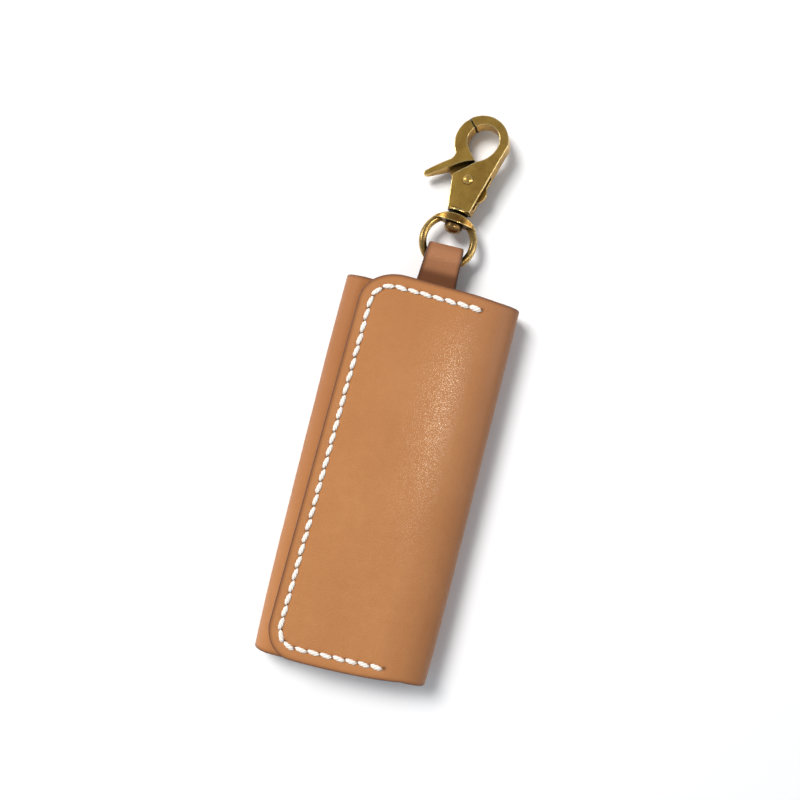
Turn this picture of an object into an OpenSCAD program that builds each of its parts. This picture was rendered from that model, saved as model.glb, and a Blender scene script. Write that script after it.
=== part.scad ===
// Tri-fold leather key case with four swivelling key hooks inside and a lever snap hanging from a strap.
// It lies on its back: X across the case, Y along it towards the snap, Z up out of the front flap.
// The origin is the middle of the face it rests on. Millimetres.

/* [Case] */
// Length of the case along Y
case_len = 106; // [96:1:116]
// Width of the closed case
case_w = 48.4; // [47:0.1:52]
// Thickness of the closed case
case_t = 14.4; // [14.2:0.1:15.5]
// Thickness of the outer leather
leather_t = 1.6; // [1.4:0.1:1.7]
// Thickness of the lining leather
lining_t = 1.2; // [1.1:0.1:1.3]
// How far the flap is out of square with the case, in degrees
flap_skew = 1.3; // [0:0.1:1.5]
// Radius across the case of the flap's corner near the strap
top_corner_x = 11.2; // [6:0.1:12]
// Radius across the case of the flap's other corner
low_corner_x = 7.6; // [6:0.1:10]
// Radius of both corners along the case
corner_y = 8.8; // [7:0.1:10]

/* [Stitching] */
// Distance from hole to hole
stitch_pitch = 3.38; // [3:0.01:4]
// Distance of the seam from the flap's free edge
stitch_inset = 3.25; // [2.8:0.05:3.6]
// Diameter of the waxed thread
thread_d = 0.8; // [0.6:0.1:1]

/* [Strap] */
// Width of the strap where it leaves the case
strap_w = 11.2; // [10:0.1:11.6]
// Width of the strap at its fold
strap_fold_w = 9.6; // [9:0.1:9.8]
// Thickness of the strap leather
strap_t = 1.4; // [1.2:0.1:1.4]

/* [Key hooks] */
// Number of key hooks
hook_count = 4; // [2:1:4]
// Distance between neighbouring key hooks
hook_pitch = 8; // [7:0.1:8]
// Length of a key hook below its plate
hook_len = 24; // [20:0.5:26]

/* [Snap] */
// Outside radius of the swivel ring
ring_r = 8.03; // [7.9:0.01:8.2]
// Diameter of the swivel ring's wire
wire_d = 2.1; // [1.9:0.05:2.1]
// Thickness of the snap's body
snap_t = 4.8; // [4.6:0.1:5]
// Outside radius of the snap's eye
eye_r = 7.45; // [7.3:0.05:7.8]
// Turn of the snap about its swivel, in degrees
snap_roll = -13; // [-20:1:0]
// Lean of the snap out of line with the case, in degrees
snap_lean = 5.5; // [0:0.5:6]

/* [Hidden] */
$fn = 64;

tan_leather = "peru";
lining_leather = "sienna";
strap_leather = "saddlebrown";
brass = "darkgoldenrod";
steel = "silver";

gap = 0.3;              // free distance between pieces that move apart
arc_steps = 8;          // facets in an eighth of a turn

// Closed section: the right fold wraps the whole thickness, the left one tucks under the flap.
right_r = case_t / 2;
side_top = case_t - leather_t - lining_t - gap;
left_r = side_top / 2;
right_c = [case_w / 2 - right_r, right_r];
left_c = [-case_w / 2 + left_r, left_r];
floor_z = leather_t + lining_t;                     // top of the back lining
left_y = [-case_len / 2 - 0.5, case_len / 2 - 1.9];     // ends of the leather at the left fold
right_y = [-case_len / 2 + 0.6, case_len / 2 - 0.5];    // its ends at the right fold
flap_y = [-case_len / 2 - 0.6, case_len / 2 + 0.1];     // ends of the flap at its free edge
flap_x = -19.85;                                        // the flap's free edge, halfway along it
side_x = -3;                                            // the side flap's free edge
low_edge_r = 212.2;                                     // curve of the flap's lower edge
low_edge_x = -10.9;                                     // where that edge reaches furthest down
top_fall_x = 12;                                        // where its upper edge starts to fall to the fold
top_fall = 0.05;                                        // and how steeply it falls

// Magnets
magnet_r = 5;
magnet_t = 0.9;
magnet_x = -10.5;
magnet_y = 27;

// Strap
strap_x = 0.3;
strap_end_y = 40.2;
strap_hinge = [case_len / 2 + 0.8, floor_z + strap_t];
strap_hinge_r = strap_t - 0.05;
strap_fold_x = 0.6;
loop_inner_r = 2.35;
loop_c = [61.9, 5.6];
loop_slit = [57.4, 5.15];           // where the two layers part
loop_slit_r = 1;
strap_rivet_y = 46;

// Key plate
plate_w = 32;
plate_y = [30.5, 39.5];
plate_t = 1;
plate_rivet_x = 12.6;
plate_rivet_y = 35.8;
flange_top = 8.2;
hook_z = 5.65;
hook_leg_x = 1.9;
hook_leg_r = 0.75;
gate_tip_lap = 1.5;
hook_yoke_y = 27.4;
hook_bend_y = plate_y[0] - hook_len + hook_leg_x + hook_leg_r;
hook_return = 4;

// Snap, in its own frame: origin at the ring's centre, Y along the swivel, Z out of its front
ring_drop = -1.4;                                     // pitch of the ring, in degrees
ring_wire_r = wire_d / 2;
ring_mid_r = ring_r - ring_wire_r;
ring_pivot = [strap_fold_x + 0.07, 60.2, 5.62];
ring_pivot_to_centre = 6.48;
ring_centre = ring_pivot + ring_pivot_to_centre * [0, cos(ring_drop), sin(ring_drop)];
collar_y = 5.1;
collar_half_x = 6.6;
collar_half_z = 3.4;
collar_r = ring_r + 0.08;
stud_r = 1.5;
stud_clear = 0.06;
stud_head_r = 2.5;
foot_y = collar_r + 0.15;
foot_r = 3.1;
body_y = 8.6;
stud_end_y = body_y + 1.6;
eye_c = [0, 28.35];
hole_c = [0.38, 28.9];
hole_r = 4.45;
mouth_outer_a = 133;                                // where the nose ends, in degrees round the eye
mouth_inner_a = 139;                                // and round its hole
vee = [0.45, 22.65];                                // the bottom of the hole
shoulder_c = [-3.15, 17.2];                         // the rounded shoulder of the shank
shoulder_r = 1.45;
shank_left_x = -2.8;                                // the shank's sides where they meet its foot
shank_right_x = 3.4;
neck = [[6.85, 26.6], [6.2, 23.2]];                 // its right side below the eye
throat_c = [-2.2, 29.25];                           // the long curve of the hole's right side
throat_r = 7.05;
slot_y = [10.2, 20.1];                              // the lever's slot in the shank
rivet_y = 17.35;
rivet_r = 1.2;
slot_half = 1.1;
root_z = [-1, 0.2];
gate_half = 2.2;

function arc(c, r, a0, a1, n) = [for (i = [0:n]) c + r * [cos(a0 + (a1 - a0) * i / n), sin(a0 + (a1 - a0) * i / n)]];
// Section of the leather that bends round a fold facing angle mid, clear of its neighbours at both creases.
function spine_section(c, r, mid) = let (a = 45 - asin(gap / (r - leather_t)))
    concat(arc(c, r, mid - a, mid + a, 2 * arc_steps), arc(c, r - leather_t, mid + a, mid - a, 2 * arc_steps));
// The outline of a belt stretched round two circles.
function belt(c1, r1, c2, r2) = let (d = c2 - c1, a = atan2(d[1], d[0]), b = acos((r1 - r2) / norm(d)))
    concat(arc(c1, r1, a + b, a + 360 - b, 2 * arc_steps), arc(c2, r2, a - b, a + b, 2 * arc_steps));
// Corner of the flap: a quarter of an ellipse from angle a0.
function corner(c, corner_x, a0) = [for (i = [0:arc_steps]) let (a = a0 + 90 * i / arc_steps)
    c + [corner_x * cos(a), corner_y * sin(a)]];

// Extrudes a section drawn in X and Z along Y.
module along_y(y0, y1) {
    translate([0, y1, 0]) rotate([90, 0, 0]) linear_extrude(y1 - y0) children();
}

// Extrudes a side view drawn in Y and Z along X, centred.
module along_x(w) {
    rotate([90, 0, 90]) translate([0, 0, -w / 2]) linear_extrude(w) children();
}

// A cylinder standing on z0.
module post(x, y, z0, z1, r) {
    translate([x, y, z0]) cylinder(r = r, h = z1 - z0);
}

// A cylinder along Y.
module rod_y(x, z, y0, y1, r) {
    translate([x, y1, z]) rotate([90, 0, 0]) cylinder(r = r, h = y1 - y0);
}

// A double-cap rivet: flat cap below, post, domed cap above.
module rivet(x, y, z0, z1, post_r, cap_r, cap_t, dome) {
    translate([x, y, 0]) rotate_extrude() polygon(concat(
        [[0, z0], [cap_r, z0], [cap_r, z0 + cap_t], [post_r, z0 + cap_t], [post_r, z1], [cap_r, z1]],
        [for (i = [1:arc_steps]) [cap_r * cos(90 * i / arc_steps), z1 + dome * sin(90 * i / arc_steps)]]));
}

// Turns the flap out of square with the case, about the line where its fold begins.
module skewed() {
    translate([right_c[0], 0]) rotate(-flap_skew) translate([-right_c[0], 0]) children();
}

// Plan of the flap up to x_end, with its two free corners rounded and its lower edge curved.
module flap_plan(x_end) {
    end_a = 270 + asin((x_end - low_edge_x) / low_edge_r);
    skewed() polygon(concat(
        corner([flap_x + top_corner_x, flap_y[1] - corner_y], top_corner_x, 90),
        corner([flap_x + low_corner_x, flap_y[0] + corner_y], low_corner_x, 180),
        arc([low_edge_x, flap_y[0] + low_edge_r], low_edge_r, 270, end_a, arc_steps),
        [[x_end, flap_y[1] - top_fall * (x_end - top_fall_x)], [top_fall_x, flap_y[1]]]));
}

// ---- The case ----

module back_panel() {
    reach = case_w / 2;
    color(tan_leather) intersection() {
        along_y(-case_len, case_len) polygon(concat(
            arc(left_c, left_r, 225, 270, arc_steps), arc(right_c, right_r, 270, 315, arc_steps),
            arc(right_c, right_r - leather_t, 315, 270, arc_steps),
            arc(left_c, left_r - leather_t, 270, 225, arc_steps)));
        translate([0, 0, -1]) linear_extrude(case_t)
            polygon([[-reach, left_y[0]], [reach, right_y[0]], [reach, right_y[1]], [-reach, left_y[1]]]);
    }
}

module back_lining() {
    recess_t = 0.5;
    margin = 0.6;
    color(lining_leather) difference() {
        translate([left_c[0], right_y[0] + margin, leather_t])
            cube([right_c[0] - left_c[0], left_y[1] - right_y[0] - 2 * margin, lining_t]);
        for (x = [-plate_rivet_x, plate_rivet_x]) {
            post(x, plate_rivet_y, 0, floor_z + 1, 1.5);
            post(x, plate_rivet_y, 0, leather_t + recess_t, 2.9);
        }
        post(strap_x, strap_rivet_y, 0, floor_z + 1, 1.4);
        post(strap_x, strap_rivet_y, 0, leather_t + recess_t, 3.2);
    }
}

module right_spine() {
    color(tan_leather) along_y(right_y[0], right_y[1]) polygon(spine_section(right_c, right_r, 0));
}

module front_flap() {
    color(tan_leather) intersection() {
        along_y(-case_len, case_len) polygon(concat(
            arc(right_c, right_r, 45, 90, arc_steps), [[flap_x - 5, case_t], [flap_x - 5, case_t - leather_t]],
            arc(right_c, right_r - leather_t, 90, 45, arc_steps)));
        linear_extrude(case_t + 1) flap_plan(case_w / 2);
    }
}

module flap_lining() {
    z0 = case_t - leather_t - lining_t;
    x_end = 13.5;
    color(lining_leather) difference() {
        translate([0, 0, z0]) linear_extrude(lining_t) flap_plan(x_end);
        magnet_pair(z0 + lining_t - magnet_t, magnet_t + 1, 0.05);
    }
}

module magnet_pair(z0, t, clear) {
    for (s = [-1, 1]) post(magnet_x, s * magnet_y, z0, z0 + t, magnet_r + clear);
}

module flap_magnets() {
    color(steel) magnet_pair(case_t - leather_t - magnet_t, magnet_t, 0);
}

// The seam runs along the top, round both corners and back along the bottom, in the flap before its
// skew. Its place at a distance s from its start is [x, y, direction].
seam_x = flap_x + stitch_inset;
seam_y = [-50.2, 49.55];
seam_start_x = 12.6;
seam_end_x = 12.4;
seam_corner_r = [4.8, 5.8];             // at the bottom and the top
seam_rise = 2.5;                        // slope of its bottom part, in degrees
seam_top = seam_start_x - seam_x - seam_corner_r[1];
seam_turn = seam_top + PI * seam_corner_r[1] / 2;
seam_side = seam_turn + seam_y[1] - seam_y[0] - seam_corner_r[1] - seam_corner_r[0];
seam_low = seam_side + PI * seam_corner_r[0] / 2;
seam_len = seam_low + (seam_end_x - seam_x - seam_corner_r[0]) / cos(seam_rise);
function seam_bend(c, r, a) = [c[0] + r * cos(a), c[1] + r * sin(a), a + 90];
function seam(s) =
    s < seam_top ? [seam_start_x - s, seam_y[1], 180]
    : s < seam_turn ? seam_bend([seam_x, seam_y[1]] + seam_corner_r[1] * [1, -1], seam_corner_r[1],
        90 + (s - seam_top) / (seam_turn - seam_top) * 90)
    : s < seam_side ? [seam_x, seam_y[1] - seam_corner_r[1] - (s - seam_turn), 270]
    : s < seam_low ? seam_bend([seam_x, seam_y[0]] + seam_corner_r[0] * [1, 1], seam_corner_r[0],
        180 + (s - seam_side) / (seam_low - seam_side) * 90)
    : [seam_x + seam_corner_r[0] + (s - seam_low) * cos(seam_rise), seam_y[0] + (s - seam_low) * sin(seam_rise),
        seam_rise];

module flap_stitching() {
    count = floor(seam_len / stitch_pitch);
    slant = 9;
    color("ivory") skewed() for (i = [0:count - 1]) {
        p = seam((i + 0.5) * seam_len / count);
        translate([p[0], p[1], case_t + 0.1]) rotate([0, 90, p[2] - slant])
            cylinder(d = thread_d, h = stitch_pitch * 0.78, center = true);
    }
}

module left_spine() {
    color(tan_leather) along_y(left_y[0], left_y[1]) polygon(spine_section(left_c, left_r, 180));
}

module side_flap() {
    color(tan_leather) along_y(left_y[0], left_y[1]) polygon(concat(
        arc(left_c, left_r, 135, 90, arc_steps), [[side_x, side_top], [side_x, side_top - leather_t]],
        arc(left_c, left_r - leather_t, 90, 135, arc_steps)));
}

module side_lining() {
    z0 = side_top - leather_t - lining_t;
    x0 = left_c[0] + 1;
    margin = 0.5;
    color(lining_leather) difference() {
        translate([x0, left_y[0] + margin, z0])
            cube([side_x - x0, left_y[1] - left_y[0] - 2 * margin, lining_t]);
        magnet_pair(z0 + lining_t - magnet_t, magnet_t + 1, 0.05);
    }
}

module side_keepers() {
    color(steel) magnet_pair(side_top - leather_t - magnet_t, magnet_t, 0);
}

// ---- The strap ----

module strap_tail() {
    color(strap_leather) difference() {
        translate([strap_x - strap_w / 2, strap_end_y, floor_z])
            cube([strap_w, strap_hinge[0] - strap_hinge_r - gap - strap_end_y, 2 * strap_t]);
        post(strap_x, strap_rivet_y, 0, case_t, 1.4);
    }
}

module strap_loop() {
    taper_y = [strap_hinge[0] - strap_t, loop_c[0] + loop_inner_r + strap_t];
    color(strap_leather) intersection() {
        difference() {
            translate([strap_x, 0, 0]) along_x(strap_w)
                polygon(belt(strap_hinge, strap_hinge_r, loop_c, loop_inner_r + strap_t));
            translate([strap_x, 0, 0]) along_x(strap_w + 1)
                polygon(belt(loop_slit, loop_slit_r, loop_c, loop_inner_r));
        }
        linear_extrude(case_t) polygon([
            [strap_x - strap_w / 2, taper_y[0]], [strap_x + strap_w / 2, taper_y[0]],
            [strap_fold_x + strap_fold_w / 2, taper_y[1]], [strap_fold_x - strap_fold_w / 2, taper_y[1]]]);
    }
}

module strap_rivet() {
    color(brass) rivet(strap_x, strap_rivet_y, leather_t, floor_z + 2 * strap_t, 1.4, 3.2, 0.5, 0.9);
}

// ---- The key plate and its hooks ----

module key_plate() {
    corner_r = 2;
    color(steel) difference() {
        union() {
            translate([-plate_w / 2, plate_y[0], floor_z]) cube([plate_w, plate_y[1] - plate_y[0] - corner_r, plate_t]);
            translate([-plate_w / 2 + corner_r, plate_y[0], floor_z])
                cube([plate_w - 2 * corner_r, plate_y[1] - plate_y[0], plate_t]);
            for (s = [-1, 1])
                post(s * (plate_w / 2 - corner_r), plate_y[1] - corner_r, floor_z, floor_z + plate_t, corner_r);
            translate([-plate_w / 2, plate_y[0], floor_z]) cube([plate_w, plate_t, flange_top - floor_z]);
        }
        for (x = [-plate_rivet_x, plate_rivet_x]) post(x, plate_rivet_y, 0, case_t, 1.5);
        for (i = [1:hook_count]) rod_y(hook_x(i), hook_z, plate_y[0] - 1, plate_y[0] + plate_t + 1, 1.18);
    }
}

module plate_rivets() {
    color(steel) for (x = [-plate_rivet_x, plate_rivet_x])
        rivet(x, plate_rivet_y, leather_t, floor_z + plate_t, 1.5, 2.9, 0.5, 0.8);
}

function hook_x(i) = (i - (hook_count + 1) / 2) * hook_pitch;

// A bent wire hook that turns on a headed stem in the plate's flange.
module key_hook(i) {
    head_y = plate_y[0] + plate_t + 0.1;
    color(steel) translate([hook_x(i), 0, hook_z]) {
        rod_y(0, 0, hook_yoke_y, head_y + 0.1, 1.1);
        rod_y(0, 0, head_y, head_y + 0.7, 1.7);
        rod_y(0, 0, hook_yoke_y, plate_y[0] - 0.1, 1.7);
        translate([-1.15, hook_yoke_y - 0.4, -0.9]) cube([2.3 + hook_leg_r, 1, 1.8]);
        rod_y(hook_leg_x, 0, hook_bend_y, hook_yoke_y + 0.2, hook_leg_r);
        translate([0, hook_bend_y, 0]) rotate(180) rotate_extrude(angle = 180)
            translate([hook_leg_x, 0]) circle(r = hook_leg_r);
        rod_y(-hook_leg_x, 0, hook_bend_y, hook_bend_y + hook_return, hook_leg_r);
    }
}

// The springy gate that closes a hook: a flat strip whose tip rests inside the hook's point.
module key_gate(i) {
    strip_t = 0.5;
    strip_w = 1.4;
    y0 = hook_bend_y + hook_return - gate_tip_lap;
    color(brass) translate([hook_x(i) - hook_leg_x + hook_leg_r + 0.15, y0, hook_z - strip_w / 2])
        cube([strip_t, hook_yoke_y - 0.6 - y0, strip_w]);
}

// ---- The snap ----

// Places the ring, and everything that hangs on it.
module at_ring() {
    translate(ring_centre) rotate([ring_drop, 0, -snap_lean]) children();
}

// Places what turns on the swivel.
module at_swivel() {
    at_ring() rotate([0, snap_roll, 0]) children();
}

module swivel_ring() {
    lens_r = (pow(collar_half_x, 2) + pow(collar_half_z, 2)) / (2 * collar_half_z);
    color(brass) at_ring() difference() {
        union() {
            rotate_extrude() translate([ring_mid_r, 0]) circle(r = ring_wire_r);
            intersection() {
                sphere(r = collar_r);
                translate([-ring_r, collar_y, -ring_r]) cube([2 * ring_r, ring_r, 2 * ring_r]);
                rod_y(0, lens_r - collar_half_z, 0, 2 * ring_r, lens_r);
                rod_y(0, collar_half_z - lens_r, 0, 2 * ring_r, lens_r);
            }
        }
        rod_y(0, 0, collar_y - 2, ring_r + 2, stud_r + stud_clear);
    }
}

// The stud is pressed into the body and peened into a domed head inside the ring.
module swivel_stud() {
    head_y = collar_y - 0.2;
    head_t = 2.6;
    color(brass) at_swivel() rotate([-90, 0, 0]) rotate_extrude() polygon(concat(
        [for (i = [0:arc_steps]) [stud_head_r * sin(90 * i / arc_steps), head_y - 0.8 - (head_t - 0.8) * cos(90 * i / arc_steps)]],
        [[stud_head_r, head_y], [stud_r, head_y], [stud_r, stud_end_y], [0, stud_end_y]]));
}

// Front view of the body: tapered shank, rounded shoulder, and the hook up to its nose.
module body_outline() {
    polygon(concat(
        [[shank_left_x, body_y]], arc(shoulder_c, shoulder_r, 187, 135, 5), [vee],
        arc(throat_c, throat_r, -68, -14, 12), arc(hole_c, hole_r, -12, mouth_inner_a, 28),
        arc(eye_c, eye_r, mouth_outer_a, 5, 36), neck, [[shank_right_x, body_y]]));
}

module snap_body() {
    slot_x = 9;
    slot_rise = [[3, slot_y[1]], [3, 20.6], [1, 23.3], [-slot_x, 25.6]];     // it opens towards the lever's root
    color(brass) at_swivel() difference() {
        union() {
            translate([0, 0, -snap_t / 2]) linear_extrude(snap_t) body_outline();
            rod_y(0, 0, foot_y, body_y + 0.3, foot_r);
        }
        translate([0, 0, -slot_half]) linear_extrude(2 * slot_half) polygon(concat(
            [[-slot_x, slot_y[0]], [slot_x, slot_y[0]], [slot_x, slot_y[1]]], slot_rise));
        post(0, rivet_y, -snap_t, snap_t, rivet_r);
        rod_y(0, 0, 0, stud_end_y, stud_r);
    }
}

// The lever: a full-width gate and thumb tab on a thin root that turns on the rivet in the slot. The
// tab's underside rises to its tip.
module trigger_lever() {
    gate_a = 1.5;
    root_edge = [[-0.1, 23], [-2.61, 22.02], [-4.44, 20.78], [-6.98, 18.76]];
    tab = [[-11.5, 15.5], [-12.2, 15.3], [-12.5, 15.5], [-12.45, 16.5], [-11, 17.95], [-8.5, 20.15],
        [-6.4, 21.8], [-5.95, 22.6]];
    root = [[0.2, 22.5], [-2, 22.8], [-6.3, 19.2], [-5.6, 17.9], [-4.4, 17], [-2.3, 15.8], [2.3, 15.8], [2.6, 18.8]];
    boss_c = [2.7, 15.1];
    boss_r = 3.15;
    hub_r = 2.9;
    underside = [[-6.5, -gate_half], [-13, 0.8]];
    color(brass) at_swivel() difference() {
        union() {
            translate([0, 0, -gate_half]) linear_extrude(2 * gate_half) polygon(concat(root_edge, tab,
                arc(eye_c, eye_r, 219, mouth_outer_a + gate_a, 12), arc(hole_c, hole_r, mouth_inner_a + gate_a, 229, 12)));
            translate([0, 0, root_z[0]]) linear_extrude(root_z[1] - root_z[0]) polygon(root);
            post(0, rivet_y, root_z[0], root_z[1], hub_r);
            post(boss_c[0], boss_c[1], root_z[0], root_z[1], boss_r);
        }
        post(0, rivet_y, -snap_t, snap_t, rivet_r + 0.05);
        along_y(0, vee[1]) polygon(concat(underside, [underside[1] - [0, snap_t], underside[0] - [0, snap_t]]));
    }
}

module lever_rivet() {
    head_r = 1.45;
    head_t = 0.7;
    color(brass) at_swivel() translate([0, rivet_y, 0]) for (s = [0, 1]) mirror([0, 0, s])
        rotate_extrude() polygon(concat([[0, 0], [rivet_r, 0], [rivet_r, snap_t / 2]],
            [for (i = [0:arc_steps]) [head_r * cos(90 * i / arc_steps), snap_t / 2 + head_t * sin(90 * i / arc_steps)]]));
}

module lever_spring() {
    coil_r = [1.48, 1.82];
    coil_z = [0.31, 1.03];
    arm_r = 0.15;
    arm_x = (coil_r[0] + coil_r[1]) / 2;
    arm_z = [coil_z[0] + 0.2, coil_z[1] - 0.2];
    arm_len = [6.6, 5];
    color(steel) at_swivel() translate([0, rivet_y, 0]) {
        difference() {
            post(0, 0, coil_z[0], coil_z[1], coil_r[1]);
            post(0, 0, coil_z[0] - 1, coil_z[1] + 1, coil_r[0]);
        }
        rod_y(-arm_x, arm_z[0], -arm_len[0], 0, arm_r);
        rod_y(arm_x, arm_z[1], -arm_len[1], 0, arm_r);
    }
}

back_panel();
back_lining();
right_spine();
front_flap();
flap_lining();
flap_stitching();
flap_magnets();
left_spine();
side_flap();
side_lining();
side_keepers();
strap_tail();
strap_loop();
strap_rivet();
key_plate();
plate_rivets();
key_hook(1);  // key_hook_1
key_hook(2);  // key_hook_2
key_hook(3);  // key_hook_3
key_hook(4);  // key_hook_4
key_gate(1);  // key_gate_1
key_gate(2);  // key_gate_2
key_gate(3);  // key_gate_3
key_gate(4);  // key_gate_4
swivel_ring();
swivel_stud();
snap_body();
trigger_lever();
lever_rivet();
lever_spring();
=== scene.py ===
"""Looks of the key organiser: a tri-fold leather key case with a brass lever snap, built round its frame.

Lengths are millimetres in the row frame, and piece() turns them into Blender's metres. Only the studio's
lights and floor are placed in metres.
"""

import math
import random

import bmesh
import bpy
import numpy as np
from mathutils import Euler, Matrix, Vector, kdtree, noise


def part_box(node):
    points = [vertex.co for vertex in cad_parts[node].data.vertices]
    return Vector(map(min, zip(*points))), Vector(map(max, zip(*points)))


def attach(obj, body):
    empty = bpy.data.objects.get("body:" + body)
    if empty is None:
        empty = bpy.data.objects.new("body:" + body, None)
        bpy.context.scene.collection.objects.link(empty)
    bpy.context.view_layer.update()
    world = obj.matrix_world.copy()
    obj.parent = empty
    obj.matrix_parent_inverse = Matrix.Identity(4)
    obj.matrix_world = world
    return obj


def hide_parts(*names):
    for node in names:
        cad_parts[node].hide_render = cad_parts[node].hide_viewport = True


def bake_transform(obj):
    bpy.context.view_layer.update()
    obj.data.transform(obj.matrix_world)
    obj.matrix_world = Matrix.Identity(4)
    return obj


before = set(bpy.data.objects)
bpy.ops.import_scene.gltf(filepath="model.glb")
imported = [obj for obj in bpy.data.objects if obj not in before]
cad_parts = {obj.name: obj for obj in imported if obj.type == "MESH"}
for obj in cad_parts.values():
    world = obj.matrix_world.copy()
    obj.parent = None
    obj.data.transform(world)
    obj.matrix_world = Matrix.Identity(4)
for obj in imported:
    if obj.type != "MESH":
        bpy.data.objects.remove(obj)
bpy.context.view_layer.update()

MM = 0.001


# ---- Sizes, most of them read from the frame ----

def box_mm(node):
    """Lowest and highest corner of a CAD node, in millimetres."""
    low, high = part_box(node)
    return np.array(low) / MM, np.array(high) / MM


LEATHER_T = 1.6
LINING_T = 1.2
STRAP_T = 1.4
STRAP_FOLD_W, STRAP_FOLD_X = 9.6, 0.6       # width and middle of the strap at its fold
EDGE_R = 0.42                       # rounding of a burnished edge
FLAP_SKEW = math.sin(math.radians(1.3))     # how far the flap is out of square
TOP_CORNER_X, LOW_CORNER_X, CORNER_Y = 11.2, 7.6, 8.8
FLAP_FREE_X = -19.85
FLAP_Y = (-53.6, 53.1)
LOW_EDGE_R, LOW_EDGE_X = 212.2, -10.9       # curve of the flap's lower edge
TOP_FALL, TOP_FALL_X = 0.05, 12.0           # slope of its upper edge near the fold
LEFT_Y = (box_mm("left_spine")[0][1], box_mm("left_spine")[1][1])
RIGHT_Y = (box_mm("right_spine")[0][1], box_mm("right_spine")[1][1])
CASE_T = box_mm("front_flap")[1][2]
RIGHT_R = CASE_T / 2
RIGHT_X = box_mm("right_spine")[1][0] - RIGHT_R
SIDE_TOP = box_mm("side_flap")[1][2]
LEFT_R = SIDE_TOP / 2
LEFT_X = box_mm("left_spine")[0][0] + LEFT_R
SIDE_FREE_X = box_mm("side_flap")[1][0]
RIGHT_PINCH, LEFT_PINCH = (0.4, 0.05), (0.45, 0.45)     # how far the folds draw in at their two ends
DROOP, DROOP_X = 0.8, 6.0           # how far the flap sinks towards its fold, and where it starts to
FLAP_W = RIGHT_X - FLAP_FREE_X
BACK_S = math.pi * RIGHT_R          # hide coordinate where the back begins; the right fold begins at 0
LEFT_S = BACK_S + RIGHT_X - LEFT_X
SIDE_S = LEFT_S + math.pi * LEFT_R
THIN = 0.04                         # first and last step of a grid that meets another piece
BULGE, BULGE_Y = 0.26, 53.5         # how far the flap stands over its nominal height, and up to what y
PINCH_FROM, PINCH_OVER = 22, 31     # where along the case the folds start to draw in, and over what length
SEAM_DEPTH, SEAM_W = 0.17, 0.75     # groove the stitches lie in
PIT_DEPTH, PIT_W = 0.2, 0.38        # dimple where the thread dives in
PIT_SHADE, PIT_SHADE_W = 0.9, 0.5   # and the painted shade of the hole round it
EDGE_STEPS = 4                      # steps in each quarter of a rounded edge
RIM_START, RIM_STEP = 0.4, 0.15     # how burnished the edge is at its first step, and more at each next one
EDGE_SWELL = 1.15                   # the middle of an edge stands out by this much of its radius
SIDE_BANDS = (1.4, 0.7)             # widths of the darker bands inside an edge
FLESH_Z = (-0.9, -1.2)              # depth below the grain side where the flesh side begins
WAX_GLINT_X = ((-18.0, -8.5), (-6.5, -1.5))       # where the waxy patch of the flap, with its painted glints, begins and ends across the hide
WAX_GLINT_Y = ((-26.0, 14.0), (30.0, 50.0))       # and along it
FOLD_SHADE_X = (-8.0, 3.0)             # where painted shade darkens the hide towards its right fold
UPPER_DARK_Y = (8.0, 50.0)             # where it darkens towards its upper end
MOUTH_L = 7                         # length of the lever, from its end, that takes part in the snap's mouth
MOUTH_GAP, MOUTH_REACH, MOUTH_FADE = 0.08, 0.45, 0.1    # gap left in the mouth, and the widest gap drawn shut
MOUTH_SHADE_W, MOUTH_SHADE_FADE = 0.5, 0.25         # painted shade along the mouth's gap


# ---- Building meshes ----

def piece(name, vertices, faces, material, body=None, slot=None, replaces=(), attributes=None):
    """A closed mesh object from millimetre points, with outward normals and smooth shading.
    Holes are closed with flat caps."""
    mesh = bpy.data.meshes.new(name)
    mesh.from_pydata((np.asarray(vertices, float) * MM).tolist(), [], faces)
    for key, values in (attributes or {}).items():
        values = np.asarray(values, np.float32)
        kind, field = ("FLOAT_VECTOR", "vector") if values.ndim == 2 else ("FLOAT", "value")
        mesh.attributes.new(key, kind, "POINT").data.foreach_set(field, values.ravel())
    tidy = bmesh.new()
    tidy.from_mesh(mesh)
    for face in tidy.faces:
        face.smooth = True
    open_edges = [edge for edge in tidy.edges if edge.is_boundary]
    if open_edges:
        for cap in bmesh.ops.holes_fill(tidy, edges=open_edges, sides=0)["faces"]:
            cap.smooth = False
    bmesh.ops.recalc_face_normals(tidy, faces=tidy.faces)
    tidy.to_mesh(mesh)
    tidy.free()
    mesh.materials.append(material)
    made = bpy.data.objects.new(name, mesh)
    bpy.context.scene.collection.objects.link(made)
    return finished(made, body, replaces)


def finished(made, body=None, replaces=()):
    """Tells the frame what a piece rides on and stands for."""
    if replaces:
        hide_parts(*replaces)
    if body:
        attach(made, body)
    return made


def unit(vectors):
    return vectors / np.maximum(np.linalg.norm(vectors, axis=-1, keepdims=True), 1e-12)


def places_mm(made):
    """An object's vertices, in millimetres."""
    places = np.zeros(len(made.data.vertices) * 3, np.float32)
    made.data.vertices.foreach_get("co", places)
    return places.reshape(-1, 3) / MM


def tree_of(points):
    """A search tree of the points."""
    tree = kdtree.KDTree(len(points))
    for k, point in enumerate(points):
        tree.insert(point, k)
    tree.balance()
    return tree


def steps(start, end, size, thin=0.0):
    """Values from start to end, about size apart, with a thin first and last step where pieces meet."""
    count = max(2, int(math.ceil(abs(end - start) / size)) + 1)
    values = np.linspace(start, end, count)
    if thin:
        sign = 1 if end > start else -1
        values = np.concatenate([[start], [start + sign * thin], values[1:-1], [end - sign * thin], [end]])
    return values


def relief(s, y):
    """Slow unevenness of hand-made leather, in mm, at a place of the unrolled hide."""
    slow = noise.noise(Vector((s / 19, y / 26, 3.1)))
    fast = noise.noise(Vector((s / 6.5, y / 7.5, 8.4)))
    return 0.085 * slow + 0.022 * fast


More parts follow.
